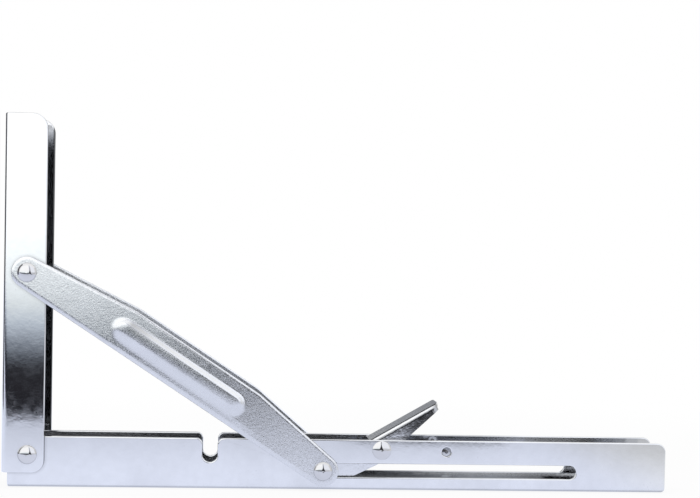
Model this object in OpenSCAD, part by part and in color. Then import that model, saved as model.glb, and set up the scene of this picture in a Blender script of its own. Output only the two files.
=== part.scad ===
// Folding shelf bracket, shown open with the shelf arm lying on its web.
// X runs along the shelf arm, Y across its channel, Z up along the wall arm.
// The hinge axis stands over the origin and Z = 0 is the face that meets the shelf.

/* [Shelf arm] */
// Length of the shelf arm
shelf_length = 300; // [280:1:400]
// Outside width of the shelf arm's channel
shelf_width = 25; // [23:0.5:32]
// Height of the shelf arm's side walls
shelf_height = 23; // [21:0.5:27]
// Sheet thickness of both arms
sheet = 1.8; // [1.4:0.1:2.2]
// Inside radius of the bends in both arms
inner_bend = 0.8; // [0.5:0.1:1.5]
// Distance from the hinge axis back to the shelf arm's end
shelf_back = 9; // [7:0.1:9.5]
// Height of the hinge axis over the shelf face
hinge_height = 14.9; // [13:0.1:16]
// Corner radius at the free end, open side
end_round_open = 4.2; // [1:0.1:8]
// Corner radius at the free end, shelf side
end_round_web = 1.5; // [0.5:0.1:1.8]

/* [Wall arm] */
// Height of the wall arm's top over the shelf face
wall_top = 166.2; // [150:0.1:220]
// Distance from the hinge axis down to the wall arm's foot
wall_foot = 8.2; // [7:0.1:10]
// Distance from the hinge axis back to the wall face
wall_back = 11.5; // [11.3:0.1:14]
// Depth of the wall arm's side walls
wall_depth = 18.8; // [17.5:0.1:24]
// Corner radius at the wall arm's top
wall_round_top = 6.5; // [1:0.1:9]
// Corner radius at the wall arm's foot
wall_round_foot = 5.5; // [1:0.1:7]
// Running gap at each side between parts that slide past each other
side_gap = 0.1; // [0.05:0.01:0.2]

/* [Strut] */
// Height of the strut pivot over the hinge axis
crank = 81; // [70:0.1:95]
// Offset of the strut pivot toward the wall
crank_offset = 0.8; // [0:0.1:2]
// Distance from the hinge axis to the slide pivot, with the bracket open
slide_x = 132; // [120:0.1:145]
// Thickness of a strut plate
strut_sheet = 2; // [1.5:0.1:2.5]
// Radius of the strut's round ends
strut_end_radius = 7; // [5.5:0.1:8]
// Height of the strut's back edge over its pivot line
strut_rise = 12.9; // [9:0.1:15]
// Distance along the strut to its first kink
kink_first = 49.5; // [30:0.5:60]
// Distance along the strut to its second kink
kink_second = 115.5; // [95:0.5:125]
// Radius that softens both kinks
kink_round = 25; // [5:1:40]
// Distance along the strut to the start of the bead
bead_start = 43.6; // [30:0.1:60]
// Distance along the strut to the end of the bead
bead_end = 113.6; // [80:0.1:120]
// Width of the bead
bead_width = 12; // [8:0.1:14]
// Height of the bead over the plate
bead_height = 2; // [1:0.1:2.5]
// Offset of the bead over the pivot line
bead_offset = 2.4; // [0:0.1:4]

/* [Slot and notch] */
// Height of the slot's centre line over the shelf face
slot_height = 9; // [8:0.1:10]
// Width of the slot
slot_width = 6.2; // [6.1:0.05:6.6]
// Spare length of the slot behind the open slide pivot
slot_spare = 0.5; // [0.2:0.1:3]
// Distance from the hinge axis to the slot's far end
slot_end = 249; // [244:0.5:260]
// Width of the notch that takes the strut pivot when folded
notch_width = 6.8; // [6.5:0.1:7.6]
// Depth that the notch keeps under the folded strut pivot
notch_under = 0.6; // [0.3:0.1:1.5]
// Radius of the notch's mouth corners
notch_mouth = 2.8; // [0.5:0.1:4]

/* [Pins] */
// Diameter of the hinge, strut and slide pins
pin_diameter = 6; // [5:0.1:6]
// Diameter of the release lever's pin
lever_pin_diameter = 5; // [4:0.1:5.2]
// Radial clearance of every pin in its holes
pin_gap = 0.05; // [0.02:0.01:0.1]
// Diameter of the rivet heads
head_diameter = 8.6; // [8:0.1:10]
// Height of the rivet heads on the arms and strut
head_height = 2.2; // [1.2:0.1:3]
// Height of the lever's rivet heads, which the folded strut passes over
lever_head_height = 1.7; // [1:0.1:1.8]
// Diameter of the slide studs' outer collars
collar_diameter = 9; // [8:0.1:10]
// Diameter of the slide studs' inner collars
inner_collar_diameter = 8.4; // [7.5:0.1:8.8]
// Thickness of the slide studs' inner collars
inner_collar = 1; // [0.5:0.1:1.2]

/* [Release lever] */
// Distance from the hinge axis to the lever's pivot
lever_x = 158.9; // [155:0.1:165]
// Height of the lever's pivot over the shelf face
lever_z = 18.3; // [17.8:0.1:19]
// Sheet thickness of the lever
lever_sheet = 1.4; // [1:0.1:1.6]
// Angle of the handle over the shelf arm
handle_angle = 30; // [25:1:35]
// Length of the handle from its pivot
handle_length = 33.1; // [28:0.1:40]
// Height of the handle's back over the lever's pivot
handle_back = 6.1; // [5.8:0.1:7]
// Depth of the side walls at the handle's tip
tip_depth = 3.1; // [2:0.1:5]
// Corner radius of the handle's tip
tip_round = 4; // [1:0.1:6]
// Lean of the handle's tip edge
tip_lean = 0.6; // [0:0.1:2]
// Distance that the handle's web reaches back past the pivot
web_back = 2.5; // [1:0.1:3]
// Length of the shoulder behind the handle's web
shoulder_length = 3.3; // [2.5:0.1:5]
// Drop of the shoulder's end
shoulder_drop = 1.9; // [1.2:0.1:3]
// Distance that the side walls' lowest corner lies behind the pivot
keel_back = 1.2; // [0:0.1:3]
// Depth of that corner under the pivot
keel_depth = 6.7; // [5:0.1:8]
// Length of the foot, from the pivot back to its end
foot_back = 12.7; // [10:0.1:15]
// Radius between the foot and the slope before it
foot_fillet = 8; // [3:0.5:12]
// Radius of the keel's corner
keel_fillet = 5; // [2:0.5:8]
// Height of the latch nose over the shelf face
nose_height = 6; // [4:0.1:7]
// Depth of the latch nose's front
nose_depth = 6.8; // [4:0.1:8]
// Gap between the latch nose and the open slide pivot
nose_gap = 0.35; // [0.2:0.05:0.8]
// Outside diameter of the lever's washers
washer_diameter = 8.8; // [8:0.1:9]
// Thickness of the lever's washers
washer_thickness = 1.1; // [0.6:0.1:1.2]
// Running gap at each face of the lever's washers
washer_gap = 0.1; // [0.05:0.01:0.2]

/* [Lever spring] */
// Wire diameter of the lever's spring
wire_diameter = 1.5; // [1:0.1:1.6]
// Whole turns of the spring's coil
spring_turns = 6; // [3:1:7]
// Clearance between the coil and the back of the lever
coil_gap = 0.15; // [0.1:0.05:0.4]
// Clearance between neighbouring turns of the coil
turn_gap = 0.12; // [0.05:0.01:0.2]
// Distance from the lever's pivot to the hole for the spring's leg
leg_reach = 29.75; // [25:0.05:40]
// Drop of the leg's hole under the lever's pivot
leg_drop = 0.4; // [0:0.1:2]
// Diameter of the hole for the spring's leg
leg_hole_diameter = 4; // [2.5:0.1:5]
// Length of the leg that lifts the handle
lift_leg = 7; // [4:0.5:12]

/* [Screw holes] */
// Diameter of the screw holes
screw_hole = 6; // [4:0.1:7]
// Distance from the hinge axis to the first hole in the shelf arm
shelf_hole_first = 25; // [15:0.5:40]
// Distance from the last hole in the shelf arm to the free end
shelf_hole_last = 11; // [8:0.5:30]
// Number of holes in the shelf arm
shelf_hole_count = 4; // [2:1:4]
// Height of the wall arm's first hole over the shelf face
wall_hole_first = 44; // [30:0.5:50]
// Distance from the last hole in the wall arm to its top
wall_hole_last = 20.2; // [12:0.1:40]
// Number of holes in the wall arm
wall_hole_count = 4; // [2:1:4]

/* [Hidden] */
$fn = 48;

// Sizes that follow from the ones above
bend = inner_bend + sheet;
wall_width = shelf_width + 2 * (sheet + side_gap);
strut_inner = wall_width / 2 + side_gap;
strut_outer = strut_inner + strut_sheet;
shelf_inner = shelf_width / 2 - sheet;
pin_radius = pin_diameter / 2;
hole_radius = pin_radius + pin_gap;
lever_hole_radius = lever_pin_diameter / 2 + pin_gap;
slot_radius = slot_width / 2;

hinge = [0, hinge_height];
strut_pivot = [-crank_offset, hinge_height + crank];
slide_pivot = [slide_x, slot_height];
lever_pivot = [lever_x, lever_z];
strut_length = norm(slide_pivot - strut_pivot);
strut_slope = atan2(strut_pivot[1] - slide_pivot[1], slide_pivot[0] - strut_pivot[0]);

// Folded, the wall arm has turned a quarter and the strut pivot lies in the notch
folded_pivot = [crank, hinge_height + crank_offset];
notch_x = folded_pivot[0];
notch_z = folded_pivot[1] - pin_radius - notch_under + notch_width / 2;

// Lever sizes, in the shelf arm's frame and relative to the lever's pivot
lever_width = 2 * (shelf_inner - washer_thickness - 2 * washer_gap);
lever_inner = lever_width / 2 - lever_sheet;
lever_bend = lever_sheet + 0.8;
pin_from_lever = slide_pivot - lever_pivot;
nose_radius = norm([pin_from_lever[0] + pin_radius, pin_from_lever[1]]) - nose_gap;
nose_low = nose_height - lever_z;
nose_top = nose_low + nose_depth;
web_relief = 0.4;
tip_overlap = 0.1;
coil_radius = handle_back - lever_sheet - coil_gap - wire_diameter / 2;
overcut = 1;

// Flat helpers

// Corner waste of a square corner at the origin that becomes round
module corner_cut(r) {
    difference() {
        translate([-overcut, -overcut])
            square([r + overcut, r + overcut]);
        translate([r, r])
            circle(r);
    }
}

// Block with two round lower corners
module rounded_base(width, depth, r) {
    translate([-width / 2, r])
        square([width, depth - r]);
    translate([-width / 2 + r, 0])
        square([width - 2 * r, depth]);
    for (side = [-1, 1])
        translate([side * (width / 2 - r), r])
            circle(r);
}

// Section of a folded channel, web down
module channel_section(width, depth, wall, r) {
    difference() {
        rounded_base(width, depth, r);
        translate([0, wall])
            rounded_base(width - 2 * wall, depth, r - wall);
    }
}

// Slot with round ends
module slot_outline(from, to, height, r) {
    translate([from, height - r])
        square([to - from, 2 * r]);
    translate([from, height])
        circle(r);
    translate([to, height])
        circle(r);
}

// Arc that rounds the corner b between the points a and c
function corner_arc(a, b, c, r, steps) =
    let (
        u = (a - b) / norm(a - b),
        v = (c - b) / norm(c - b),
        half = acos(u * v) / 2,
        middle = b + (u + v) / norm(u + v) * r / sin(half),
        first = b + u * r / tan(half) - middle,
        last = b + v * r / tan(half) - middle,
        start = atan2(first[1], first[0]),
        turn = atan2(first[0] * last[1] - first[1] * last[0], first * last)
    )
    [for (i = [0 : steps]) middle + r * [cos(start + turn * i / steps), sin(start + turn * i / steps)]];

// Point where a line from p touches a circle round c, on its upper or lower side
function touch_point(c, r, p, side) =
    let (
        d = norm(p - c),
        a = atan2(p[1] - c[1], p[0] - c[0]) + side * acos(r / d)
    )
    c + r * [cos(a), sin(a)];

// Turns a flat outline drawn in X and Z into a plate between two Y values
module across(from, to) {
    translate([0, to, 0])
        rotate([90, 0, 0])
            linear_extrude(height = to - from)
                children();
}

// Turns a section drawn in Y and Z into a bar between two X values
module along(from, to) {
    translate([from, 0, 0])
        rotate([90, 0, 90])
            linear_extrude(height = to - from)
                children();
}

// Round bar along Y at a point in X and Z
module pin(at, r, from, to) {
    translate([at[0], to, at[1]])
        rotate([90, 0, 0])
            cylinder(h = to - from, r = r);
}

// Domed head on a face at Y, pointing away from the middle
module dome(at, face, height, side) {
    ball = (head_diameter * head_diameter / 4 + height * height) / (2 * height);
    translate([at[0], side * face, at[1]])
        rotate([side * -90, 0, 0])
            intersection() {
                translate([0, 0, height - ball])
                    sphere(ball, $fn = 64);
                cylinder(h = height + overcut, r = head_diameter);
            }
}

module rivet(at, r, face, height) {
    union() {
        pin(at, r, -face, face);
        dome(at, face, height, 1);
        dome(at, face, height, -1);
    }
}

// Arms

module shelf_arm() {
    far_end = shelf_length - shelf_back;
    hole_step = (far_end - shelf_hole_last - shelf_hole_first) / (shelf_hole_count - 1);
    color([0.78, 0.80, 0.86])
    difference() {
        along(-shelf_back, far_end)
            channel_section(shelf_width, shelf_height, sheet, bend);
        // Free end, and the corner that has to turn inside the wall arm
        across(-shelf_width, shelf_width) {
            translate([far_end, shelf_height])
                rotate(180)
                    corner_cut(end_round_open);
            translate([far_end, 0])
                rotate(90)
                    corner_cut(end_round_web);
            difference() {
                translate([-shelf_back - overcut, hinge_height])
                    square([shelf_back + overcut, shelf_height]);
                translate(hinge)
                    circle(shelf_back);
                translate([-shelf_back, 0])
                    square([2 * shelf_back, hinge_height]);
            }
        }
        // Slot for the slide pivot and notch for the strut pivot
        across(-shelf_width, shelf_width) {
            slot_outline(slide_x - slot_spare, slot_end - slot_radius, slot_height, slot_radius);
            translate([notch_x - notch_width / 2, notch_z])
                square([notch_width, shelf_height - notch_z + overcut]);
            translate([notch_x, notch_z])
                circle(notch_width / 2);
            translate([notch_x + notch_width / 2, shelf_height])
                rotate(-90)
                    corner_cut(notch_mouth);
            translate([notch_x - notch_width / 2, shelf_height])
                rotate(180)
                    corner_cut(notch_mouth);
        }
        pin(hinge, hole_radius, -shelf_width, shelf_width);
        pin(lever_pivot, lever_hole_radius, -shelf_width, shelf_width);
        pin(lever_pivot + [leg_reach, -leg_drop], leg_hole_diameter / 2, -shelf_width, shelf_width);
        for (i = [0 : shelf_hole_count - 1])
            translate([shelf_hole_first + i * hole_step, 0, -overcut])
                cylinder(h = sheet + 2 * overcut, r = screw_hole / 2);
    }
}

module wall_arm() {
    foot = hinge_height - wall_foot;
    edge = wall_depth - wall_back;
    hole_step = (wall_top - wall_hole_last - wall_hole_first) / (wall_hole_count - 1);
    color([0.84, 0.85, 0.88])
    difference() {
        translate([-wall_back, 0, foot])
            linear_extrude(height = wall_top - foot)
                rotate(-90)
                    channel_section(wall_width, wall_depth, sheet, bend);
        across(-wall_width, wall_width) {
            translate([edge, wall_top])
                rotate(180)
                    corner_cut(wall_round_top);
            translate([edge, foot])
                rotate(90)
                    corner_cut(wall_round_foot);
        }
        pin(hinge, hole_radius, -wall_width, wall_width);
        pin(strut_pivot, hole_radius, -wall_width, wall_width);
        for (i = [0 : wall_hole_count - 1])
            translate([-wall_back - overcut, 0, wall_hole_first + i * hole_step])
                rotate([0, 90, 0])
                    cylinder(h = sheet + 2 * overcut, r = screw_hole / 2);
    }
}

// Strut, drawn along X from its upper pivot and turned into place

module strut_outline() {
    far = [strut_length, 0];
    first = [kink_first, strut_rise];
    second = [kink_second, strut_rise];
    near_touch = touch_point([0, 0], strut_end_radius, first, 1);
    far_touch = touch_point(far, strut_end_radius, second, -1);
    polygon(concat(
        [[0, -strut_end_radius], far - [0, strut_end_radius], far, far_touch],
        corner_arc(far_touch, second, first, kink_round, 6),
        corner_arc(second, first, near_touch, kink_round, 6),
        [near_touch, [0, 0]]
    ));
    circle(strut_end_radius);
    translate(far)
        circle(strut_end_radius);
}

// Bead pressed out of the sheet, with round ends
module bead(ball, from_face) {
    reach = bead_width / 2;
    centre = strut_outer + bead_height - (reach * reach + bead_height * bead_height) / (2 * bead_height);
    intersection() {
        union() {
            for (x = [bead_start + reach, bead_end - reach])
                translate([x, -centre, bead_offset])
                    sphere(ball, $fn = 64);
            translate([bead_start + reach, -centre, bead_offset])
                rotate([0, 90, 0])
                    cylinder(h = bead_end - bead_start - bead_width, r = ball, $fn = 64);
        }
        translate([0, -strut_outer - bead_height - overcut, bead_offset - bead_width])
            cube([strut_length, strut_outer + bead_height + overcut - from_face, 2 * bead_width]);
    }
}

module strut_plate() {
    reach = bead_width / 2;
    ball = (reach * reach + bead_height * bead_height) / (2 * bead_height);
    translate([strut_pivot[0], 0, strut_pivot[1]])
        rotate([0, strut_slope, 0])
            difference() {
                union() {
                    across(-strut_outer, -strut_inner)
                        strut_outline();
                    bead(ball, strut_outer - strut_sheet / 2);
                }
                bead(ball - strut_sheet, strut_inner - overcut);
                pin([0, 0], hole_radius, -strut_outer - overcut, 0);
                pin([strut_length, 0], hole_radius, -strut_outer - overcut, 0);
            }
}

module strut_plate_near() {
    color([0.72, 0.73, 0.78])
        strut_plate();
}

module strut_plate_far() {
    color([0.62, 0.63, 0.68])
        mirror([0, 1, 0])
            strut_plate();
}

// Slide pivot, parted into the strut's heads and the studs in the slots

module slide_rivet_head() {
    pin(slide_pivot, pin_radius, -strut_outer, -strut_inner);
    dome(slide_pivot, strut_outer, head_height, -1);
}

module slide_rivet_head_near() {
    color([0.95, 0.95, 0.96])
        slide_rivet_head();
}

module slide_rivet_head_far() {
    color([0.95, 0.95, 0.96])
        mirror([0, 1, 0])
            slide_rivet_head();
}

module slide_stud() {
    collar_in = shelf_width / 2 + side_gap;
    inner_out = shelf_inner - side_gap;
    pin(slide_pivot, collar_diameter / 2, -(strut_inner - side_gap), -collar_in);
    pin(slide_pivot, pin_radius, -strut_inner + side_gap, -(inner_out - inner_collar));
    pin(slide_pivot, inner_collar_diameter / 2, -inner_out, -(inner_out - inner_collar));
}

module slide_stud_near() {
    color([0.55, 0.55, 0.60])
        slide_stud();
}

module slide_stud_far() {
    color([0.55, 0.55, 0.60])
        mirror([0, 1, 0])
            slide_stud();
}

// Through rivets

module hinge_rivet() {
    color([0.95, 0.95, 0.96])
        rivet(hinge, pin_radius, wall_width / 2 + side_gap / 2, head_height);
}

module strut_rivet() {
    color([0.95, 0.95, 0.96])
        rivet(strut_pivot, pin_radius, strut_outer + side_gap / 2, head_height);
}

module lever_rivet() {
    color([0.95, 0.95, 0.96])
        rivet(lever_pivot, lever_pin_diameter / 2, shelf_width / 2 + side_gap / 2, lever_head_height);
}

// Release lever, drawn round its pivot

// Point of the handle's frame, along it and square to it
function on_handle(x, z) = [x * cos(handle_angle) - z * sin(handle_angle),
    x * sin(handle_angle) + z * cos(handle_angle)];

module lever_outline() {
    tip = on_handle(handle_length, handle_back);
    tip_low = tip + [tip_lean, -tip_depth];
    shoulder_start = on_handle(-web_back - web_relief, handle_back);
    shoulder = shoulder_start - [shoulder_length, 0];
    shoulder_foot = shoulder - [0, shoulder_drop];
    keel = [-keel_back, -keel_depth];
    foot = [-foot_back, nose_low];
    nose_corner = [-sqrt(nose_radius * nose_radius - nose_low * nose_low), nose_low];
    nose_head = [-sqrt(nose_radius * nose_radius - nose_top * nose_top), nose_top];
    nose_from = atan2(nose_head[1], nose_head[0]) + 360;
    nose_to = atan2(nose_corner[1], nose_corner[0]) + 360;
    polygon(concat(
        [for (i = [0 : 6]) nose_radius * [cos(nose_from + (nose_to - nose_from) * i / 6),
            sin(nose_from + (nose_to - nose_from) * i / 6)]],
        corner_arc(nose_corner, foot, keel, foot_fillet, 5),
        corner_arc(foot, keel, tip_low, keel_fillet, 5),
        [tip_low, tip, shoulder_start],
        corner_arc(shoulder_start, shoulder, shoulder_foot, 1, 3),
        [shoulder_foot]
    ));
}

module release_lever() {
    color([0.50, 0.50, 0.53])
    translate([lever_x, 0, lever_z])
        difference() {
            across(-lever_width / 2, lever_width / 2)
                lever_outline();
            rotate([0, -handle_angle, 0]) {
                // Room between the side walls, open behind the web
                translate([-4 * lever_width, -lever_inner, -2 * lever_width])
                    cube([4 * lever_width - web_back, 2 * lever_inner, 4 * lever_width]);
                translate([0, 0, handle_back - lever_sheet])
                    mirror([0, 0, 1])
                        along(-2 * lever_width, 2 * handle_length)
                            rounded_base(2 * lever_inner, 2 * lever_width, lever_bend - lever_sheet);
                // Outside of the two bends
                for (side = [-1, 1])
                    along(web_relief - web_back, 2 * handle_length)
                        translate([side * lever_width / 2, handle_back])
                            rotate(side > 0 ? 180 : -90)
                                corner_cut(lever_bend);
                // Round corners of the tip, started a little inside the side walls
                for (side = [-1, 1])
                    translate([handle_length, side * (lever_width / 2 - tip_overlap), -lever_width])
                        linear_extrude(height = 2 * lever_width)
                            rotate(side > 0 ? 180 : 90)
                                corner_cut(tip_round);
            }
            pin([0, 0], lever_hole_radius, -lever_width, lever_width);
        }
}

module lever_washer() {
    middle = (lever_width / 2 + shelf_inner) / 2;
    difference() {
        pin(lever_pivot, washer_diameter / 2, -middle - washer_thickness / 2, -middle + washer_thickness / 2);
        pin(lever_pivot, lever_hole_radius, -shelf_width, 0);
    }
}

module lever_washer_near() {
    color([0.35, 0.35, 0.38])
        lever_washer();
}

module lever_washer_far() {
    color([0.35, 0.35, 0.38])
        mirror([0, 1, 0])
            lever_washer();
}

// Lever spring, a wire swept along its legs and coil

leg_point = [leg_reach, -leg_drop];
leg_touch = touch_point([0, 0], coil_radius, leg_point, -1);
coil_from = atan2(leg_touch[1], leg_touch[0]);
coil_to = 90 + handle_angle - 360 * (spring_turns + 1);
coil_steps = 16 * spring_turns + 8;
coil_near = -(lever_inner - wire_diameter);
coil_pitch = wire_diameter + turn_gap;
coil_far = coil_near + coil_pitch * (coil_from - coil_to) / 360;
elbow = 2;
spring_path = concat(
    [[leg_point[0], -shelf_width / 2 + 0.1, leg_point[1]]],
    [for (i = [4 : -1 : 0]) [leg_point[0] - elbow * (1 - sin(22.5 * i)), coil_near - elbow * (1 - cos(22.5 * i)), leg_point[1]]],
    [for (i = [0 : coil_steps]) let (a = coil_from + (coil_to - coil_from) * i / coil_steps)
        [coil_radius * cos(a), coil_near + (coil_far - coil_near) * i / coil_steps, coil_radius * sin(a)]],
    [[coil_radius * cos(coil_to) + lift_leg * cos(handle_angle), coil_far,
        coil_radius * sin(coil_to) + lift_leg * sin(handle_angle)]]
);

function unit(v) = v / norm(v);
function path_direction(p, i) = unit(p[min(i + 1, len(p) - 1)] - p[max(i - 1, 0)]);
function ring_side(d, last) = unit(last - (last * d) * d);
// Carries the section's side direction along the path without twisting it
function ring_sides(p, i, last) = i >= len(p) ? [] :
    let (s = ring_side(path_direction(p, i), last))
    concat([s], ring_sides(p, i + 1, s));

module wire(path, r, facets) {
    sides = ring_sides(path, 0, [0, 0, 1]);
    rings = [for (i = [0 : len(path) - 1])
        let (d = path_direction(path, i), a = sides[i], b = cross(d, a))
        for (k = [0 : facets - 1])
            path[i] + r * (a * cos(360 * k / facets) + b * sin(360 * k / facets))];
    count = len(path);
    polyhedron(
        points = rings,
        faces = concat(
            [[for (k = [facets - 1 : -1 : 0]) k]],
            [[for (k = [0 : facets - 1]) (count - 1) * facets + k]],
            [for (i = [0 : count - 2]) for (k = [0 : facets - 1])
                let (a = i * facets + k, b = i * facets + (k + 1) % facets)
                [a, b, b + facets, a + facets]]
        ),
        convexity = 10
    );
}

module lever_spring() {
    color([0.30, 0.30, 0.33])
        translate([lever_x, 0, lever_z])
            wire(spring_path, wire_diameter / 2, 8);
}

shelf_arm();
wall_arm();
strut_plate_near();
strut_plate_far();
release_lever();
hinge_rivet();
strut_rivet();
lever_rivet();
slide_rivet_head_near();
slide_rivet_head_far();
slide_stud_near();
slide_stud_far();
lever_washer_near();
lever_washer_far();
lever_spring();
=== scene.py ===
import math

import bmesh
import bpy
from mathutils import Matrix, Vector


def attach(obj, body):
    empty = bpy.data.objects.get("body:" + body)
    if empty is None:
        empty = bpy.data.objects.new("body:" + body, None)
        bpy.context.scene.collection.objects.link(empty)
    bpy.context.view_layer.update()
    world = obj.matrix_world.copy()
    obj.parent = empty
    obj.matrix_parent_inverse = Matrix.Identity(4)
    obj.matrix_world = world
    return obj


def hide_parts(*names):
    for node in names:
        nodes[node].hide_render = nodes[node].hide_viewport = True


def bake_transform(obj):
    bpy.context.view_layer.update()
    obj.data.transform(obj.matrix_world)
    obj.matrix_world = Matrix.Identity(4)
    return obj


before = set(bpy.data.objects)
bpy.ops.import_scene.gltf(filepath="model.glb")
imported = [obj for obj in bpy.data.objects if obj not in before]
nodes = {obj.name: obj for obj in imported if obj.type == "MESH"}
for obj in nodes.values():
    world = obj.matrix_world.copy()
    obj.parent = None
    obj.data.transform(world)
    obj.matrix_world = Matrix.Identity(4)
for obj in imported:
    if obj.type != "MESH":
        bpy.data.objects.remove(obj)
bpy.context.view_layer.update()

# Units are metres. Shapes of the strut plates and the spring are in millimetres until MM turns them.

MM = 0.001
UP = Vector((0, 0, 1))

# Camera, from points of the photograph

CAMERA_PLACE = (0.0872, -0.6557, 0.1007)
CAMERA_YAW = math.radians(-4.671)
CAMERA_PITCH = math.radians(-2.311)
CAMERA_ROLL = math.radians(1.263)
PHOTO_WIDTH = 700
PHOTO_HEIGHT = 498
FOCAL_PX = 1427.8
CENTRE_PX = (342.7, 326.0)
SENSOR_WIDTH = 36.0
CLIP_START = 0.01
CLIP_END = 50.0


def add_object(name, data):
    thing = bpy.data.objects.new(name, data)
    bpy.context.scene.collection.objects.link(thing)
    return thing


def make_camera():
    data = bpy.data.cameras.new("camera")
    data.sensor_fit = "HORIZONTAL"
    data.sensor_width = SENSOR_WIDTH
    data.lens = FOCAL_PX / PHOTO_WIDTH * SENSOR_WIDTH
    data.shift_x = (PHOTO_WIDTH / 2 - CENTRE_PX[0]) / PHOTO_WIDTH
    data.shift_y = (CENTRE_PX[1] - PHOTO_HEIGHT / 2) / PHOTO_WIDTH
    data.clip_start = CLIP_START
    data.clip_end = CLIP_END
    level_right = Vector((math.cos(CAMERA_YAW), math.sin(CAMERA_YAW), 0))
    level_ahead = Vector((-math.sin(CAMERA_YAW), math.cos(CAMERA_YAW), 0))
    ahead = math.cos(CAMERA_PITCH) * level_ahead + math.sin(CAMERA_PITCH) * UP
    level_up = -math.sin(CAMERA_PITCH) * level_ahead + math.cos(CAMERA_PITCH) * UP
    right = math.cos(CAMERA_ROLL) * level_right + math.sin(CAMERA_ROLL) * level_up
    up = -math.sin(CAMERA_ROLL) * level_right + math.cos(CAMERA_ROLL) * level_up
    turn = Matrix((right, up, -ahead)).transposed().to_4x4()
    camera = add_object("camera", data)
    camera.matrix_world = Matrix.Translation(CAMERA_PLACE) @ turn
    bpy.context.scene.camera = camera


make_camera()

# Small helpers for node trees


class Tree:
    """Short calls for building a node tree."""

    # The two inputs and the output that the Mix node uses for each type of data
    MIX_SOCKETS = {"FLOAT": (2, 3, 0), "RGBA": (6, 7, 2)}

    def __init__(self, tree):
        self.tree = tree
        tree.nodes.clear()

    def add(self, kind, inputs=None, **settings):
        node = self.tree.nodes.new(kind)
        for name, value in settings.items():
            setattr(node, name, value)
        for name, value in (inputs or {}).items():
            self.feed(node, name, value)
        return node

    def feed(self, node, name, value):
        if isinstance(value, bpy.types.NodeSocket):
            self.tree.links.new(value, node.inputs[name])
        else:
            node.inputs[name].default_value = value

    def place(self):
        """Coordinates of the object itself, which move with it."""
        return self.add("ShaderNodeTexCoord").outputs["Object"]

    def axes(self, place):
        node = self.add("ShaderNodeSeparateXYZ", {"Vector": place})
        return node.outputs["X"], node.outputs["Y"], node.outputs["Z"]

    def math(self, operation, a, b=0.0, clamp=False):
        node = self.add("ShaderNodeMath", {0: a, 1: b}, operation=operation, use_clamp=clamp)
        return node.outputs[0]

    def times(self, *values):
        """Product of two or more values."""
        product = values[0]
        for value in values[1:]:
            product = self.math("MULTIPLY", product, value)
        return product

    def one_minus(self, value):
        return self.math("SUBTRACT", 1.0, value)

    def vector_math(self, operation, a, b):
        return self.add("ShaderNodeVectorMath", {0: a, 1: b}, operation=operation)

    def fade(self, value, span, start=0.0, end=1.0, smooth=False):
        """From start to end while the value passes through the span, and held beyond it."""
        node = self.add(
            "ShaderNodeMapRange",
            {"Value": value, "From Min": span[0], "From Max": span[1], "To Min": start, "To Max": end},
            interpolation_type="SMOOTHSTEP" if smooth else "LINEAR",
        )
        return node.outputs["Result"]

    def noise(self, place, scale, detail=2.0, roughness=0.5):
        node = self.add(
            "ShaderNodeTexNoise",
            {"Vector": place, "Scale": scale, "Detail": detail, "Roughness": roughness},
        )
        return node.outputs["Fac"]

    def ramp(self, share, stops):
        """Colours at shares between 0 and 1."""
        node = self.add("ShaderNodeValToRGB", {"Fac": share})
        elements = node.color_ramp.elements
        while len(elements) > 1:
            elements.remove(elements[-1])
        elements[0].position = stops[0][0]
        elements[0].color = (*stops[0][1], 1)
        for at, colour in stops[1:]:
            elements.new(at).color = (*colour, 1)
        return node.outputs["Color"]

    def colours(self, value, span, points):
        """Colours that follow the value through points of its span, and are held beyond them."""
        low, high = span
        stops = [((at - low) / (high - low), colour) for at, colour in points]
        return self.ramp(self.fade(value, span), stops)

    def levels(self, value, span, points):
        """Numbers that follow the value in the same way."""
        return self.colours(value, span, [(at, (level,) * 3) for at, level in points])

    def mix(self, factor, a, b, data_type="RGBA"):
        """Colours or numbers between a and b."""
        first, second, result = self.MIX_SOCKETS[data_type]
        node = self.add("ShaderNodeMix", {0: factor, first: a, second: b}, data_type=data_type)
        return node.outputs[result]

    def mix_shaders(self, factor, a, b):
        return self.add("ShaderNodeMixShader", {0: factor, 1: a, 2: b}).outputs["Shader"]

    def glow(self, colour, strength):
        node = self.add("ShaderNodeEmission", {"Color": colour, "Strength": strength})
        return node.outputs["Emission"]

    def surface(self, shader):
        self.add("ShaderNodeOutputMaterial", {"Surface": shader})


def new_material(name):
    material = bpy.data.materials.new(name)
    material.use_nodes = True
    return material, Tree(material.node_tree)


# Painted shade on the arms: darker or more matt by place on the object

INSIDE_Y = (0.0112, 0.0120)
INSIDE_X = (0.0, 0.002)
LOW_BAND_FOOT_Z = (0.0022, 0.0030)
LOW_BAND_HEAD_Z = (0.0055, 0.0070)
TOP_BAND_Z = (0.010, 0.016)
CUT_EDGE_INNER_Y = (0.01252, 0.01257)
CUT_EDGE_OUTER_Y = (0.0132, 0.0137)
CUT_EDGE_X = (0.0063, 0.0067)
CUT_EDGE_SHADE = 0.85
ARM_SPAN_X = (0.0, 0.3)
LOW_BAND_SHADE = [
    (0.0, 0.35), (0.18, 0.35), (0.205, 0.10), (0.225, 0.25), (0.236, 0.35), (0.2445, 0.35), (0.248, 0.0),
]
TOP_BAND_SHADE = [
    (0.16, 0.0), (0.18, 0.32), (0.19, 0.30), (0.21, 0.25), (0.222, 0.16), (0.23, 0.0), (0.26, 0.0),
    (0.27, 0.115),
]
TOP_BAND_MATT = [
    (0.0, 0.085), (0.035, 0.085), (0.06, 0.035), (0.14, 0.055), (0.21, 0.02), (0.232, 0.17), (0.255, 0.17),
    (0.27, 0.0),
]


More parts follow.
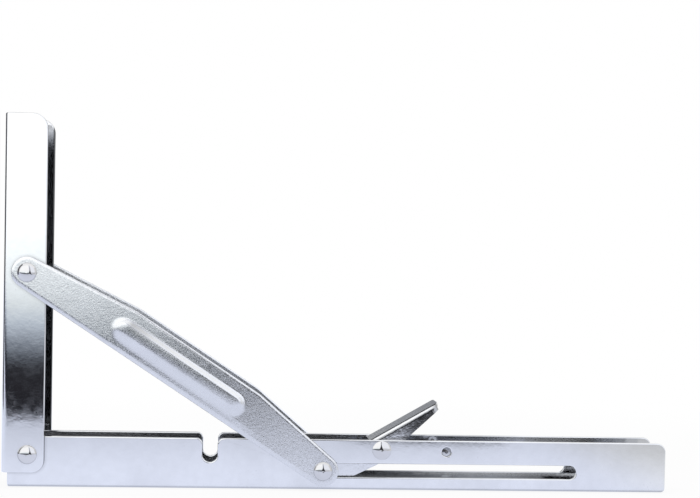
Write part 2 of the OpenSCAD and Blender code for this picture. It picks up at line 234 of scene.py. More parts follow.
def channel_painted_shade(t, place):
    """Painted shade: the long arm's inside is darker under the slot and along the top, where it is also
    partly matt. The short arm's cut edge gets a painted dark line.

    Each such function gives the share of the colour that its painted shade keeps, and how metallic the
    surface is.
    """
    x, y, z = t.axes(place)
    away = t.math("ABSOLUTE", y)
    inside = t.times(t.fade(away, INSIDE_Y, 1.0, 0.0), t.fade(x, INSIDE_X))
    low = t.times(inside, t.fade(z, LOW_BAND_FOOT_Z), t.fade(z, LOW_BAND_HEAD_Z, 1.0, 0.0, True))
    top = t.times(inside, t.fade(z, TOP_BAND_Z, smooth=True))
    # Painted dark line along the short arm's cut edge
    cut = t.times(
        t.fade(away, CUT_EDGE_INNER_Y, 0.0, CUT_EDGE_SHADE),
        t.fade(away, CUT_EDGE_OUTER_Y, 1.0, 0.0),
        t.fade(x, CUT_EDGE_X),
    )
    # Painted shade under the slot and along the top, set by place along the arm
    low_shade = t.times(low, t.levels(x, ARM_SPAN_X, LOW_BAND_SHADE))
    top_shade = t.times(top, t.levels(x, ARM_SPAN_X, TOP_BAND_SHADE))
    matt = t.times(top, t.levels(x, ARM_SPAN_X, TOP_BAND_MATT))
    shade = t.math("MAXIMUM", t.math("ADD", low_shade, top_shade), cut)
    return t.one_minus(shade), t.one_minus(matt)


# Painted shade on the lever

LEVER_SIDE_Y = (0.0089, 0.0092)
LEVER_TIP_X = (0.166, 0.175)
LEVER_TIP_SHADE = 0.6
LEVER_BEND_Y = (0.00932, 0.00938)
LEVER_BEND_SHADE = 0.55
LEVER_CORNER_Y = (0.0070, 0.0078)
LEVER_CORNER_X = (0.1815, 0.1835)
LEVER_CORNER_SHADE = 0.5


def lever_painted_shade(t, place):
    """Painted shade: side walls darker toward the handle's tip and under their bend, and the corners of
    the tip darker.
    """
    x, y, _ = t.axes(place)
    away = t.math("ABSOLUTE", y)
    side = t.fade(away, LEVER_SIDE_Y)
    tip = t.times(side, t.fade(x, LEVER_TIP_X, 0.0, LEVER_TIP_SHADE, True))
    bend = t.times(side, t.fade(away, LEVER_BEND_Y, LEVER_BEND_SHADE, 0.0))
    corner_shade = t.times(t.fade(away, LEVER_CORNER_Y), t.fade(x, LEVER_CORNER_X, 0.0, LEVER_CORNER_SHADE))
    shade = t.math("MAXIMUM", t.math("MAXIMUM", tip, bend), corner_shade)
    return t.one_minus(shade), 1.0


# Painted shade on the strut, in the frame of its two pivots

STRUT_TOP = Vector((-0.8, 95.9))
STRUT_FOOT = Vector((132.0, 9.0))
STRUT_LENGTH = (STRUT_FOOT - STRUT_TOP).length
STRUT_ALONG = (STRUT_FOOT - STRUT_TOP).normalized()
STRUT_ACROSS = Vector((-STRUT_ALONG.y, STRUT_ALONG.x))
RIDGE_LOWER_SIDE = (0.0030, 0.0042)
RIDGE_UPPER_SIDE = (0.0076, 0.0084)
RIDGE_SPAN = (0.04, 0.08)
RIDGE_SHADE = [(0.0488, 0.0), (0.0512, 0.38), (0.0552, 0.32), (0.0632, 0.12), (0.076, 0.0)]


def upright(flat):
    """A point or direction of the XZ plane, in space."""
    return Vector((flat.x, 0, flat.y))


def strut_painted_shade(t, place):
    """Painted shade on the ridge of the bead, darker toward its upper end."""
    from_top = t.vector_math("SUBTRACT", place, upright(STRUT_TOP) * MM).outputs["Vector"]
    along = t.vector_math("DOT_PRODUCT", from_top, upright(STRUT_ALONG)).outputs["Value"]
    across = t.vector_math("DOT_PRODUCT", from_top, upright(STRUT_ACROSS)).outputs["Value"]
    ridge = t.times(
        t.fade(across, RIDGE_LOWER_SIDE, smooth=True),
        t.fade(across, RIDGE_UPPER_SIDE, 1.0, 0.0, True),
    )
    return t.one_minus(t.times(ridge, t.levels(along, RIDGE_SPAN, RIDGE_SHADE))), 1.0


# Plated steel

BLOTCH_SCALE = 260.0
CLOUD_SCALE = 38.0
PIT_SCALE = 520.0
DENT_SCALE = 420.0
CLOUD_LEVELS = (0.32, 0.5, 0.68)
CLOUD_SHARES = (0.95, 1.04)
BLOTCH_SPAN = (0.3, 0.7)
BLOTCH_SHARES = (0.97, 1.02)
BLOTCH_ROUGHNESS = (-0.02, 0.03)
PIT_SIZE = (0.0, 0.16)
PIT_BLOTCHES = (0.52, 0.66)
PIT_COLOUR = (0.25, 0.25, 0.27, 1)
PIT_ROUGHNESS = 0.15
PIT_DEPTH = 0.8
SPECKLE_SPAN = (0.38, 0.62)
SPECKLE_SHARES = (-0.5, 1.0)
CORNER_SHADE_REACH = 0.018
CORNER_SHADE_SPAN = (0.15, 0.75)
CONTACT_SHADE_REACH = 0.0018
CONTACT_SHADE_SPAN = (0.35, 0.9)
CONTACT_SHADE_LEVEL = 0.6
SHADE_SAMPLES = 6


def plated_steel(name, tint, rough, grain, depth, dents=0.0, corner_shade=0.62, pits=0.35, painted_shade=None,
                 speckle=0.0):
    """Zinc plated sheet: cloudy tint, fine grain, shallow dents, small pits, painted shade in inner
    corners and where parts touch.
    """
    material, t = new_material(name)
    place = t.place()
    fine = t.noise(place, grain, detail=3.0, roughness=0.62)
    blotch = t.noise(place, BLOTCH_SCALE, detail=3.0, roughness=0.55)
    cloud = t.noise(place, CLOUD_SCALE)
    cells = t.add("ShaderNodeTexVoronoi", {"Vector": place, "Scale": PIT_SCALE}).outputs["Distance"]
    pit = t.times(t.fade(cells, PIT_SIZE, 1.0, 0.0, True), t.fade(blotch, PIT_BLOTCHES, smooth=True))

    dark, light = (tuple(min(1.0, part * share) for part in tint) for share in CLOUD_SHARES)
    base = t.ramp(cloud, list(zip(CLOUD_LEVELS, (dark, tint, light))))
    base = t.mix(t.times(pit, pits), base, PIT_COLOUR)
    # Painted shade in inner corners and where parts touch, from ambient occlusion
    hollow_shade = t.add(
        "ShaderNodeAmbientOcclusion", {"Distance": CORNER_SHADE_REACH}, samples=SHADE_SAMPLES, only_local=True)
    contact_shade = t.add("ShaderNodeAmbientOcclusion", {"Distance": CONTACT_SHADE_REACH}, samples=SHADE_SAMPLES)
    # Brightness: the plating's random tone times the painted shade of corners and contacts
    value = t.times(
        t.fade(blotch, BLOTCH_SPAN, *BLOTCH_SHARES),
        t.fade(hollow_shade.outputs["AO"], CORNER_SHADE_SPAN, corner_shade, 1.0),
        t.fade(contact_shade.outputs["AO"], CONTACT_SHADE_SPAN, CONTACT_SHADE_LEVEL, 1.0),
    )
    metallic = 1.0
    # The function given here paints shade on the colour by place on the object
    if painted_shade:
        share, metallic = painted_shade(t, place)
        value = t.times(value, share)
    colour = t.add("ShaderNodeHueSaturation", {"Color": base, "Value": value}).outputs["Color"]

    smoother, rougher = BLOTCH_ROUGHNESS
    roughness = t.fade(blotch, BLOTCH_SPAN, rough + smoother, rough + rougher)
    roughness = t.math("ADD", roughness, t.times(pit, PIT_ROUGHNESS), clamp=True)
    if speckle:
        flecks = t.fade(fine, SPECKLE_SPAN, *(share * speckle for share in SPECKLE_SHARES))
        roughness = t.math("ADD", roughness, flecks, clamp=True)

    height = t.math("SUBTRACT", fine, t.times(pit, PIT_DEPTH))
    if dents:
        height = t.math("ADD", height, t.times(t.noise(place, DENT_SCALE), dents))
    bump = t.add("ShaderNodeBump", {"Height": height, "Strength": 1.0, "Distance": depth})
    normal = bump.outputs["Normal"]
    shader = t.add(
        "ShaderNodeBsdfPrincipled",
        {"Base Color": colour, "Metallic": metallic, "Roughness": roughness, "Normal": normal},
    )
    t.surface(shader.outputs["BSDF"])
    return material


METALS = {
    "arm_steel": dict(
        tint=(0.73, 0.74, 0.76), rough=0.075, grain=1500.0, depth=0.000004, dents=3.0,
        painted_shade=channel_painted_shade),
    "strut_steel": dict(
        tint=(0.69, 0.70, 0.72), rough=0.17, grain=1800.0, depth=0.000062, dents=0.6,
        painted_shade=strut_painted_shade, speckle=0.14),
    "lever_steel": dict(
        tint=(0.71, 0.72, 0.74), rough=0.13, grain=1300.0, depth=0.000030, dents=2.6,
        painted_shade=lever_painted_shade),
    "rivet_steel": dict(
        tint=(0.62, 0.62, 0.63), rough=0.06, grain=2600.0, depth=0.0000012, corner_shade=0.8, pits=0.1),
    "stud_steel": dict(tint=(0.60, 0.60, 0.62), rough=0.20, grain=1800.0, depth=0.000006),
    "washer_steel": dict(tint=(0.50, 0.50, 0.52), rough=0.25, grain=1800.0, depth=0.000006),
    "spring_steel": dict(tint=(0.17, 0.17, 0.18), rough=0.28, grain=2600.0, depth=0.000004),
}
MATERIALS = {name: plated_steel(name, **look) for name, look in METALS.items()}

NODE_METALS = {
    "shelf_arm": "arm_steel",
    "wall_arm": "arm_steel",
    "strut_plate_near": "strut_steel",
    "strut_plate_far": "strut_steel",
    "release_lever": "lever_steel",
    "hinge_rivet": "rivet_steel",
    "strut_rivet": "rivet_steel",
    "lever_rivet": "rivet_steel",
    "slide_rivet_head_near": "rivet_steel",
    "slide_rivet_head_far": "rivet_steel",
    "slide_stud_near": "stud_steel",
    "slide_stud_far": "stud_steel",
    "lever_washer_near": "washer_steel",
    "lever_washer_far": "washer_steel",
    "lever_spring": "spring_steel",
}

for name, metal in NODE_METALS.items():
    mesh = nodes[name].data
    mesh.materials.clear()
    mesh.materials.append(MATERIALS[metal])

# Meshes made of rings


def ring_faces(first, count, rings):
    """Quads between rings of count points each. The first ring starts at the index first."""
    faces = []
    for ring in range(rings - 1):
        start = first + ring * count
        for i in range(count):
            a = start + i
            b = start + (i + 1) % count
            faces.append((a, b, b + count, a + count))
    return faces


def make_mesh(name, vertices, faces, merge):
    """A smooth mesh whose points closer together than merge become one."""
    mesh = bpy.data.meshes.new(name)
    mesh.from_pydata(vertices, [], faces)
    work = bmesh.new()
    work.from_mesh(mesh)
    bmesh.ops.remove_doubles(work, verts=work.verts, dist=merge)
    bmesh.ops.dissolve_degenerate(work, edges=work.edges, dist=merge)
    bmesh.ops.recalc_face_normals(work, faces=work.faces)
    for face in work.faces:
        face.smooth = True
    work.to_mesh(mesh)
    work.free()
    return mesh


# Strut plates, pressed from sheet with a soft bead and a rolled rim

STRUT_END_RADIUS = 7.0
STRUT_RISE = 12.9
STRUT_KINKS = (49.5, 115.5)
STRUT_KINK_ROUND = 25.0
STRUT_INNER = 14.5
STRUT_SHEET = 2.0
BEAD_FROM = 43.6
BEAD_TO = 113.6
BEAD_REACH = 6.0
BEAD_HEIGHT = 1.95
BEAD_OFFSET = 2.4
BEAD_CREST = 2.0
BEAD_TOP_CURVE = 0.045
BEAD_UPPER_SIDE = 2.9
BEAD_LOWER_SIDE = 5.5
RIM_ROUND = 0.25
RIM_SLOPE = 0.62
RIM_UPPER_REACH = 1.3
RIM_LOWER_REACH = 2.2
INNER_EDGE_DROP = 0.3
INNER_EDGE_REACH = 0.5
STRIP_LAP = 1.0
STRIP_TOP = BEAD_OFFSET - BEAD_REACH + STRIP_LAP
STRIP_SLOPE = 0.075
STRIP_FROM = 42
STRIP_TO = 132
STRIP_FADE = 16
SPINE_OFFSET = 0.6 * BEAD_OFFSET
END_STEPS = 20
KINK_STEPS = 8
OUTLINE_POINTS = 420
ROUND_RINGS = 4
SLOPE_RINGS = 9
MIDDLE_RINGS = 40
PLATE_MERGE = 0.000004


def arc_points(centre, radius, start, end, steps):
    points = []
    for i in range(steps + 1):
        angle = start + (end - start) * i / steps
        points.append(centre + radius * Vector((math.cos(angle), math.sin(angle))))
    return points


def round_corner(a, b, c, radius, steps):
    """Points of the arc that rounds corner b between the points a and c."""
    u = (a - b).normalized()
    v = (c - b).normalized()
    half = u.angle(v) / 2
    middle = b + (u + v).normalized() * radius / math.sin(half)
    first = b + u * radius / math.tan(half) - middle
    last = b + v * radius / math.tan(half) - middle
    start = math.atan2(first.y, first.x)
    turn = math.atan2(first.x * last.y - first.y * last.x, first.dot(last))
    return arc_points(middle, radius, start, start + turn, steps)


def touch_point(centre, radius, point, side):
    """Where a line from the point touches the circle, on its side 1 or -1."""
    away = point - centre
    angle = math.atan2(away.y, away.x) + side * math.acos(radius / away.length)
    return centre + radius * Vector((math.cos(angle), math.sin(angle)))


def strut_outline():
    """Closed outline in the strut's own frame, counterclockwise."""
    top = Vector((0, 0))
    foot = Vector((STRUT_LENGTH, 0))
    first = Vector((STRUT_KINKS[0], STRUT_RISE))
    second = Vector((STRUT_KINKS[1], STRUT_RISE))
    near_touch = touch_point(top, STRUT_END_RADIUS, first, 1)
    far_touch = touch_point(foot, STRUT_END_RADIUS, second, -1)
    far_end = math.atan2(far_touch.y - foot.y, far_touch.x - foot.x)
    near_start = math.atan2(near_touch.y, near_touch.x)
    points = arc_points(foot, STRUT_END_RADIUS, -math.pi / 2, far_end, END_STEPS)
    points += round_corner(far_touch, second, first, STRUT_KINK_ROUND, KINK_STEPS)
    points += round_corner(second, first, near_touch, STRUT_KINK_ROUND, KINK_STEPS)
    points += arc_points(top, STRUT_END_RADIUS, near_start, 1.5 * math.pi, END_STEPS)
    return points


def evenly(points, count):
    """The closed outline again, as count points at equal steps."""
    closed = points + [points[0]]
    lengths = [0.0]
    for a, b in zip(closed, closed[1:]):
        lengths.append(lengths[-1] + (b - a).length)
    result = []
    at = 0
    for i in range(count):
        target = lengths[-1] * i / count
        while lengths[at + 1] < target:
            at += 1
        span = lengths[at + 1] - lengths[at]
        share = (target - lengths[at]) / span if span else 0.0
        result.append(closed[at].lerp(closed[at + 1], share))
    return result


def smooth(share):
    share = min(max(share, 0.0), 1.0)
    return share * share * (3 - 2 * share)


def bead_side(across):
    """Section of the bead: a steep upper side, a nearly flat top that leans down, a soft lower side."""
    upper = smooth((BEAD_REACH - across) / BEAD_UPPER_SIDE)
    lower = smooth((BEAD_REACH + across) / BEAD_LOWER_SIDE)
    top = BEAD_HEIGHT - 0.5 * BEAD_TOP_CURVE * (across - BEAD_CREST) ** 2
    return max(0.0, top) * upper * lower


def bead_rise(x, z):
    """Height of the pressed bead at a point of the strut's frame."""
    start = BEAD_FROM + BEAD_REACH
    end = BEAD_TO - BEAD_REACH
    away = math.hypot(x - min(max(x, start), end), z - BEAD_OFFSET)
    if away == 0:
        return bead_side(0.0)
    if away >= BEAD_REACH:
        return 0.0
    lean = (1 + (z - BEAD_OFFSET) / away) / 2
    return lean * bead_side(away) + (1 - lean) * bead_side(-away)


def rim_drop(inset, reach):
    """How far the outer face has fallen at a distance from the outline, where its rim is rolled over."""
    edge = RIM_ROUND - math.sqrt(RIM_ROUND ** 2 - max(0.0, RIM_ROUND - inset) ** 2)
    return edge + 0.5 * RIM_SLOPE * reach * max(0.0, 1 - inset / reach) ** 2


def strip_fall(x, z):
    """The strip below the bead leans in a little."""
    ends = smooth((x - STRIP_FROM) / STRIP_FADE) * smooth((STRIP_TO - x) / STRIP_FADE)
    return STRIP_SLOPE * max(0.0, STRIP_TOP - z) * ends


def outer_depth(x, z, inset, reach):
    return STRUT_INNER + STRUT_SHEET + bead_rise(x, z) - rim_drop(inset, reach) - strip_fall(x, z)


def inner_depth(x, z, inset, reach):
    return STRUT_INNER + bead_rise(x, z) + INNER_EDGE_DROP * max(0.0, 1 - inset / INNER_EDGE_REACH)


def strut_point(x, z, depth, side):
    flat = STRUT_TOP + STRUT_ALONG * x + STRUT_ACROSS * z
    return Vector((flat.x, side * depth, flat.y)) * MM


def plate_rings():
    """Rings from the outline inward, each point with its distance from the outline and its rim's reach."""
    outline = evenly(strut_outline(), OUTLINE_POINTS)
    inward = []
    for i in range(OUTLINE_POINTS):
        step = outline[(i + 1) % OUTLINE_POINTS] - outline[i - 1]
        inward.append(Vector((-step.y, step.x)).normalized())
    middle = (RIM_LOWER_REACH + RIM_UPPER_REACH) / 2
    reaches = [middle + (RIM_LOWER_REACH - middle) * n.y for n in inward]
    rings = []
    for k in range(ROUND_RINGS + SLOPE_RINGS + 1):
        rounded = RIM_ROUND * (1 - math.cos(math.pi / 2 * min(k, ROUND_RINGS) / ROUND_RINGS))
        slope_share = max(0, k - ROUND_RINGS) / SLOPE_RINGS
        ring = []
        for p, n, reach in zip(outline, inward, reaches):
            inset = rounded + (reach - RIM_ROUND) * slope_share
            ring.append((p + n * inset, inset, reach))
        rings.append(ring)
    rim = rings[-1]
    for k in range(1, MIDDLE_RINGS + 1):
        ring = []
        for p, _, reach in rim:
            spine = Vector((min(max(p.x, 0.0), STRUT_LENGTH), SPINE_OFFSET))
            ring.append((p.lerp(spine, k / MIDDLE_RINGS), reach, reach))
        rings.append(ring)
    return rings


def strut_plate_mesh(name, side):
    """Outer face, inner face and the narrow edge between them."""
    rings = plate_rings()
    count = OUTLINE_POINTS
    inner = count * len(rings)
    vertices = []
    for depth in (outer_depth, inner_depth):
        for ring in rings:
            for p, inset, reach in ring:
                vertices.append(strut_point(p.x, p.y, depth(p.x, p.y, inset, reach), side))
    faces = ring_faces(0, count, len(rings))
    faces += [quad[::-1] for quad in ring_faces(inner, count, len(rings))]
    for a in range(count):
        b = (a + 1) % count
        faces.append((b, a, inner + a, inner + b))
    return make_mesh(name, vertices, faces, PLATE_MERGE)


for name, side in (("near", -1), ("far", 1)):
    mesh = strut_plate_mesh("strut_pressing_" + name, side)
    mesh.materials.append(MATERIALS["strut_steel"])
    plate = add_object("strut_pressing_" + name, mesh)
    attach(plate, "strut")
    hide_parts("strut_plate_" + name)

# Lever spring, a wire whose coil winds up as the lever is pressed

LEVER_PIVOT = Vector((158.9, 0, 18.3))
HANDLE_ANGLE = math.radians(30)
WIRE_RADIUS = 0.75
WIRE_FACETS = 16
WIRE_END_ROUND = 0.3
WIRE_MERGE = 0.000001
COIL_RADIUS = 3.8
COIL_TURNS = 6
COIL_STEPS = 32
COIL_PITCH = 1.62
COIL_NEAR = -6.5
LEG_END = Vector((29.75, -12.4, -0.4))
LEG_ELBOW = 2.0
ELBOW_STEPS = 4
LIFT_LEG = 7.0


def spring_path():
    """Middle line of the wire from the lever's pivot, and the Y at which its coil ends."""
    away = math.hypot(LEG_END.x, LEG_END.z)
    start = math.atan2(LEG_END.z, LEG_END.x) - math.acos(COIL_RADIUS / away)
    end = math.pi / 2 + HANDLE_ANGLE - 2 * math.pi * (COIL_TURNS + 1)
    coil_far = COIL_NEAR + COIL_PITCH * (start - end) / (2 * math.pi)
    points = [LEG_END.copy()]
    for i in range(ELBOW_STEPS + 1):
        turn = math.pi / 2 * (ELBOW_STEPS - i) / ELBOW_STEPS
        x = LEG_END.x - LEG_ELBOW * (1 - math.sin(turn))
        y = COIL_NEAR - LEG_ELBOW * (1 - math.cos(turn))
        points.append(Vector((x, y, LEG_END.z)))
    steps = COIL_STEPS * COIL_TURNS
    for i in range(steps + 1):
        angle = start + (end - start) * i / steps
        y = COIL_NEAR + (coil_far - COIL_NEAR) * i / steps
        points.append(Vector((COIL_RADIUS * math.cos(angle), y, COIL_RADIUS * math.sin(angle))))
    handle = Vector((math.cos(HANDLE_ANGLE), 0, math.sin(HANDLE_ANGLE)))
    points.append(points[-1] + LIFT_LEG * handle)
    return points, coil_far


def wire_mesh(name, path, radius):
    """Round wire along a path, with its two ends a little rounded."""
    cut = WIRE_END_ROUND * radius
    head = path[0] + (path[1] - path[0]).normalized() * cut
    tail = path[-1] + (path[-2] - path[-1]).normalized() * cut
    path = [path[0], head] + path[1:-1] + [tail, path[-1]]
    last = len(path) - 1
    side = UP
    vertices = []
    for i, point in enumerate(path):
        along = (path[min(i + 1, last)] - path[max(i - 1, 0)]).normalized()
        side = (side - side.dot(along) * along).normalized()
        other = along.cross(side)
        reach = radius - cut if i in (0, last) else radius
        for k in range(WIRE_FACETS):
            angle = 2 * math.pi * k / WIRE_FACETS
            place = LEVER_PIVOT + point + reach * (side * math.cos(angle) + other * math.sin(angle))
            vertices.append(place * MM)
    head_cap = tuple(reversed(range(WIRE_FACETS)))
    tail_cap = tuple(range(last * WIRE_FACETS, len(vertices)))
    faces = [head_cap, tail_cap] + ring_faces(0, WIRE_FACETS, len(path))
    return make_mesh(name, vertices, faces, WIRE_MERGE)


coil_line, coil_far = spring_path()
spring_mesh = wire_mesh("lever_spring_wire", coil_line, WIRE_RADIUS)
spring_mesh.materials.append(MATERIALS["spring_steel"])
spring = add_object("lever_spring_wire", spring_mesh)
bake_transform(spring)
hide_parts("lever_spring")

# Softened edges

SOFT_EDGES = {
    "shelf_arm": 0.0006,
    "wall_arm": 0.0006,
    "release_lever": 0.00025,
    "lever_washer_near": 0.0001,
    "lever_washer_far": 0.0001,
    "slide_stud_near": 0.0001,
    "slide_stud_far": 0.0001,
}
KEPT_WIDTH = ("shelf_arm", "wall_arm")
SOFT_MERGE = 0.000002
FLAT_ANGLE = math.radians(0.4)
EDGE_ANGLE = math.radians(35)
EDGE_SEGMENTS = 4
NORMAL_WEIGHT = 100


def soften(piece, width, clamp):
    """Soft edges. With clamp, all of them get narrower rather than overlap beside a short edge."""
    for face in piece.data.polygons:
        face.use_smooth = True
    weld = piece.modifiers.new("weld", "WELD")
    weld.merge_threshold = SOFT_MERGE
    flat = piece.modifiers.new("whole faces", "DECIMATE")
    flat.decimate_type = "DISSOLVE"
    flat.angle_limit = FLAT_ANGLE
    bevel = piece.modifiers.new("soft edges", "BEVEL")
    bevel.width = width
    bevel.segments = EDGE_SEGMENTS
    bevel.limit_method = "ANGLE"
    bevel.angle_limit = EDGE_ANGLE
    bevel.use_clamp_overlap = clamp
    normals = piece.modifiers.new("even normals", "WEIGHTED_NORMAL")
    normals.weight = NORMAL_WEIGHT
    normals.keep_sharp = False


for name, width in SOFT_EDGES.items():
    soften(nodes[name], width, name not in KEPT_WIDTH)

# Flat sheets around the object


def flat_sheet(name, corners, material):
    mesh = bpy.data.meshes.new(name)
    mesh.from_pydata([Vector(c) for c in corners], [], [(0, 1, 2, 3)])
    mesh.materials.append(material)
    sheet = add_object(name, mesh)
    return sheet


def mirror_card(name, corners, material):
    """A sheet that shows in shiny surfaces and nowhere else."""
    card = flat_sheet(name, corners, material)
    card.visible_camera = False
    card.visible_diffuse = False
    card.visible_transmission = False
    card.visible_volume_scatter = False
    card.visible_shadow = False


def seen_rays(t, path):
    """1 for the camera and for what metal and glass show, 0 for light that falls on the object."""
    seen = t.math("MAXIMUM", path.outputs["Is Camera Ray"], path.outputs["Is Glossy Ray"])
    return t.math("MAXIMUM", seen, path.outputs["Is Transmission Ray"])


LEVER_PATCH_X = 0.21


def beside_lever(t, x, reach):
    """1 around the place that the lever's side wall mirrors, 0 beyond its reach along X."""
    away = t.math("ABSOLUTE", t.math("SUBTRACT", x, LEVER_PATCH_X))
    return t.fade(away, reach, 1.0, 0.0, True)


# Floor, a white table. Each dimming or fade is a span with the levels at its two ends.

FLOOR_Z = -0.0002
FLOOR_HALF = 6.0
FLOOR_COLOUR = (0.93, 0.93, 0.94, 1)
WHITE = (1, 1, 1, 1)
LILAC = (0.93, 0.98, 1.15, 1)
NEUTRAL = (0.96, 0.97, 0.99, 1)
NEUTRAL_X = (0.26, 0.34)
RIGHT_X = (0.26, 0.36)
LEFT_DIMMING = ((0.02, 0.28), 1.04, 0.84)
RIGHT_DIMMING = ((0.03, 0.20), 1.05, 0.70)
FLOOR_PATCH_REACH = (0.03, 0.06)
FLOOR_PATCH_AHEAD = (0.17, 0.22)
FLOOR_PATCH_LEVEL = 0.1
SHADOW_CENTRE = (0.15, 0.0, 0.0)
SHADOW_FADE = ((0.2, 0.5), 0.88, 1.0)


def floor_material():
    """White table. In the metal it turns a little lilac, and darker away from the object."""
    material, t = new_material("floor")
    path = t.add("ShaderNodeLightPath")
    place = t.place()
    x, y, _ = t.axes(place)
    ahead = t.times(y, -1.0)
    tint = t.mix(t.fade(x, NEUTRAL_X, smooth=True), LILAC, NEUTRAL)
    dimming = t.mix(
        t.fade(x, RIGHT_X, smooth=True),
        t.fade(ahead, *LEFT_DIMMING, True),
        t.fade(ahead, *RIGHT_DIMMING, True),
        "FLOAT",
    )
    patch = t.times(beside_lever(t, x, FLOOR_PATCH_REACH), t.fade(ahead, FLOOR_PATCH_AHEAD, smooth=True))
    level = t.times(dimming, t.fade(patch, (0.0, 1.0), 1.0, FLOOR_PATCH_LEVEL))
    glow = t.mix_shaders(path.outputs["Is Glossy Ray"], t.glow(WHITE, 1.0), t.glow(tint, level))
    matt = t.add("ShaderNodeBsdfDiffuse", {"Color": FLOOR_COLOUR}).outputs["BSDF"]
    away = t.vector_math("DISTANCE", place, SHADOW_CENTRE).outputs["Value"]
    white_share = t.times(seen_rays(t, path), t.fade(away, *SHADOW_FADE, True))
    t.surface(t.mix_shaders(white_share, matt, glow))
    return material


flat_sheet(
    "floor",
    [(-FLOOR_HALF, -FLOOR_HALF, FLOOR_Z), (FLOOR_HALF, -FLOOR_HALF, FLOOR_Z),
     (FLOOR_HALF, FLOOR_HALF, FLOOR_Z), (-FLOOR_HALF, FLOOR_HALF, FLOOR_Z)],
    floor_material(),
)

# Front sheet, which the near sides of the metal mirror

SHEET_Y = -0.30
SHEET_HALF = 1.2
SHEET_TOP = 0.9
SHEET_SPAN_Z = (0.0, 0.2)
SHEET_COLOURS = [
    (0.0, (0.02, 0.02, 0.025)), (0.034, (0.025, 0.025, 0.03)), (0.047, (0.25, 0.28, 0.33)),
    (0.062, (0.69, 0.76, 0.85)), (0.074, (0.94, 0.99, 1.0)), (0.2, (1.0, 1.0, 1.0)),
]
SHEET_STRENGTH = ((0.06, 0.13), 1.0, 1.5)
OPEN_X = (0.055, 0.105)
OPEN_COLOUR = (0.86, 0.88, 0.94, 1)
SHEET_PATCH_REACH = (0.03, 0.05)
SHEET_PATCH_Z = (0.03, 0.05)
SHEET_PATCH_COLOUR = (0.05, 0.05, 0.055, 1)
SLIT_SPAN_Z = (0.0, 0.3)
SLIT_LEFT = [(0.0, 0.055), (0.05, 0.075), (0.1, 0.100), (0.2, 0.128), (0.3, 0.136)]
SLIT_LEFT_EDGE = (-0.010, 0.008)
SLIT_RIGHT = [(0.0, 0.235), (0.05, 0.225), (0.1, 0.205), (0.2, 0.180), (0.3, 0.176)]
SLIT_RIGHT_EDGE = (-0.006, 0.010)
SLIT_FOOT_Z = (0.010, 0.028)
SLIT_COLOUR = (0.04, 0.04, 0.045, 1)


def front_sheet_material():
    """White cloth, dark near the table at the left, by the lever and in a slit that narrows upward."""
    material, t = new_material("front_sheet")
    x, _, z = t.axes(t.place())
    colour = t.colours(z, SHEET_SPAN_Z, SHEET_COLOURS)
    colour = t.mix(t.fade(x, OPEN_X, smooth=True), colour, OPEN_COLOUR)
    patch = t.times(beside_lever(t, x, SHEET_PATCH_REACH), t.fade(z, SHEET_PATCH_Z, 1.0, 0.0, True))
    colour = t.mix(patch, colour, SHEET_PATCH_COLOUR)
    left = t.levels(z, SLIT_SPAN_Z, SLIT_LEFT)
    right = t.levels(z, SLIT_SPAN_Z, SLIT_RIGHT)
    slit = t.times(
        t.fade(t.math("SUBTRACT", x, left), SLIT_LEFT_EDGE, smooth=True),
        t.fade(t.math("SUBTRACT", right, x), SLIT_RIGHT_EDGE, smooth=True),
        t.fade(z, SLIT_FOOT_Z, smooth=True),
    )
    colour = t.mix(slit, colour, SLIT_COLOUR)
    t.surface(t.glow(colour, t.fade(z, *SHEET_STRENGTH, True)))
    return material


mirror_card(
    "front_sheet",
    [(-SHEET_HALF, SHEET_Y, 0), (SHEET_HALF, SHEET_Y, 0),
     (SHEET_HALF, SHEET_Y, SHEET_TOP), (-SHEET_HALF, SHEET_Y, SHEET_TOP)],
    front_sheet_material(),
)

# Dark cards, two behind the object and one at its left

BACK_Y = 0.4
LEFT_X = -0.35
BACK_TOP_RIGHT = (0.20, BACK_Y, 0.30)
BACK_TOP_LEFT = (-0.12, BACK_Y, 0.45)
BLACK = (0.04, 0.04, 0.045)
DARK_GREY = (0.10, 0.10, 0.11)
GREY = (0.30, 0.31, 0.33)
CARD_FOOT_SHARE = 0.55
CARD_STRENGTH = ((0.18, 0.34), 1.0, 4.0)
BACK_RISE = (0.06, 0.20)
LEFT_RISE = (0.0, 0.5)
DARK_CARDS = {
    "back_card": (
        [(0.05, BACK_Y, 0.06), (0.33, BACK_Y, 0.06), BACK_TOP_RIGHT, BACK_TOP_LEFT],
        BACK_RISE, GREY, BLACK),
    "slant_card": (
        [BACK_TOP_RIGHT, BACK_TOP_LEFT, (-0.45, BACK_Y, 1.0), (-0.05, BACK_Y, 1.0)],
        BACK_RISE, BLACK, BLACK),
    "left_card": (
        [(LEFT_X, -0.04, 0), (LEFT_X, 0.30, 0), (LEFT_X, 0.30, 0.6), (LEFT_X, -0.04, 0.6)],
        LEFT_RISE, DARK_GREY, DARK_GREY),
}


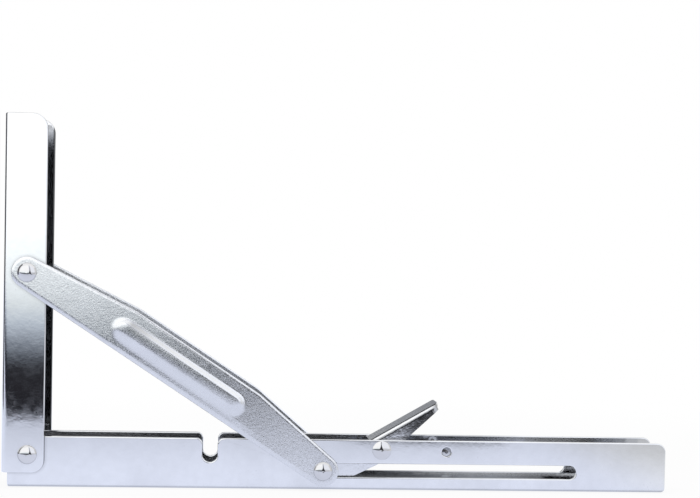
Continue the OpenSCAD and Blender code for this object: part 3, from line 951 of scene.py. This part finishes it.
def dark_card_material(name, rise, foot, top):
    """One colour up to a share of the rise and another at its end, brighter toward the right."""
    material, t = new_material(name)
    x, _, z = t.axes(t.place())
    foot_end = rise[0] + CARD_FOOT_SHARE * (rise[1] - rise[0])
    colour = t.colours(z, rise, [(foot_end, foot), (rise[1], top)])
    t.surface(t.glow(colour, t.fade(x, *CARD_STRENGTH, True)))
    return material


for name, (corners, rise, foot, top) in DARK_CARDS.items():
    mirror_card(name, corners, dark_card_material(name, rise, foot, top))

# Top sheet, mirrored by faces that look up

TOP_STRENGTH = 1.3
TOP_BACK_Y = 0.35


def top_sheet_material():
    material, t = new_material("top_sheet")
    t.surface(t.glow(WHITE, TOP_STRENGTH))
    return material


mirror_card(
    "top_sheet",
    [(-SHEET_HALF, SHEET_Y, SHEET_TOP), (SHEET_HALF, SHEET_Y, SHEET_TOP),
     (SHEET_HALF, TOP_BACK_Y, SHEET_TOP), (-SHEET_HALF, TOP_BACK_Y, SHEET_TOP)],
    top_sheet_material(),
)

# World and lamp

WORLD_LEVELS = (0.85, 1.0)
LAMP_PLACE = Vector((-0.5, -0.5, 1.1))
LAMP_AIM = Vector((0.14, 0, 0.05))
LAMP_SIZE = 0.9
LAMP_POWER = 3.0


def make_world():
    world = bpy.data.worlds.new("studio")
    world.use_nodes = True
    t = Tree(world.node_tree)
    seen = seen_rays(t, t.add("ShaderNodeLightPath"))
    strength = t.fade(seen, (0.0, 1.0), *WORLD_LEVELS)
    back = t.add("ShaderNodeBackground", {"Color": WHITE, "Strength": strength})
    t.add("ShaderNodeOutputWorld", {"Surface": back.outputs["Background"]})
    bpy.context.scene.world = world


def make_lamp():
    data = bpy.data.lights.new("key", "AREA")
    data.shape = "RECTANGLE"
    data.size = LAMP_SIZE
    data.size_y = LAMP_SIZE
    data.energy = LAMP_POWER
    lamp = add_object("key", data)
    lamp.location = LAMP_PLACE
    lamp.rotation_euler = (LAMP_AIM - LAMP_PLACE).to_track_quat("-Z", "Y").to_euler()


make_world()
make_lamp()

bpy.context.scene.view_settings.view_transform = "Standard"
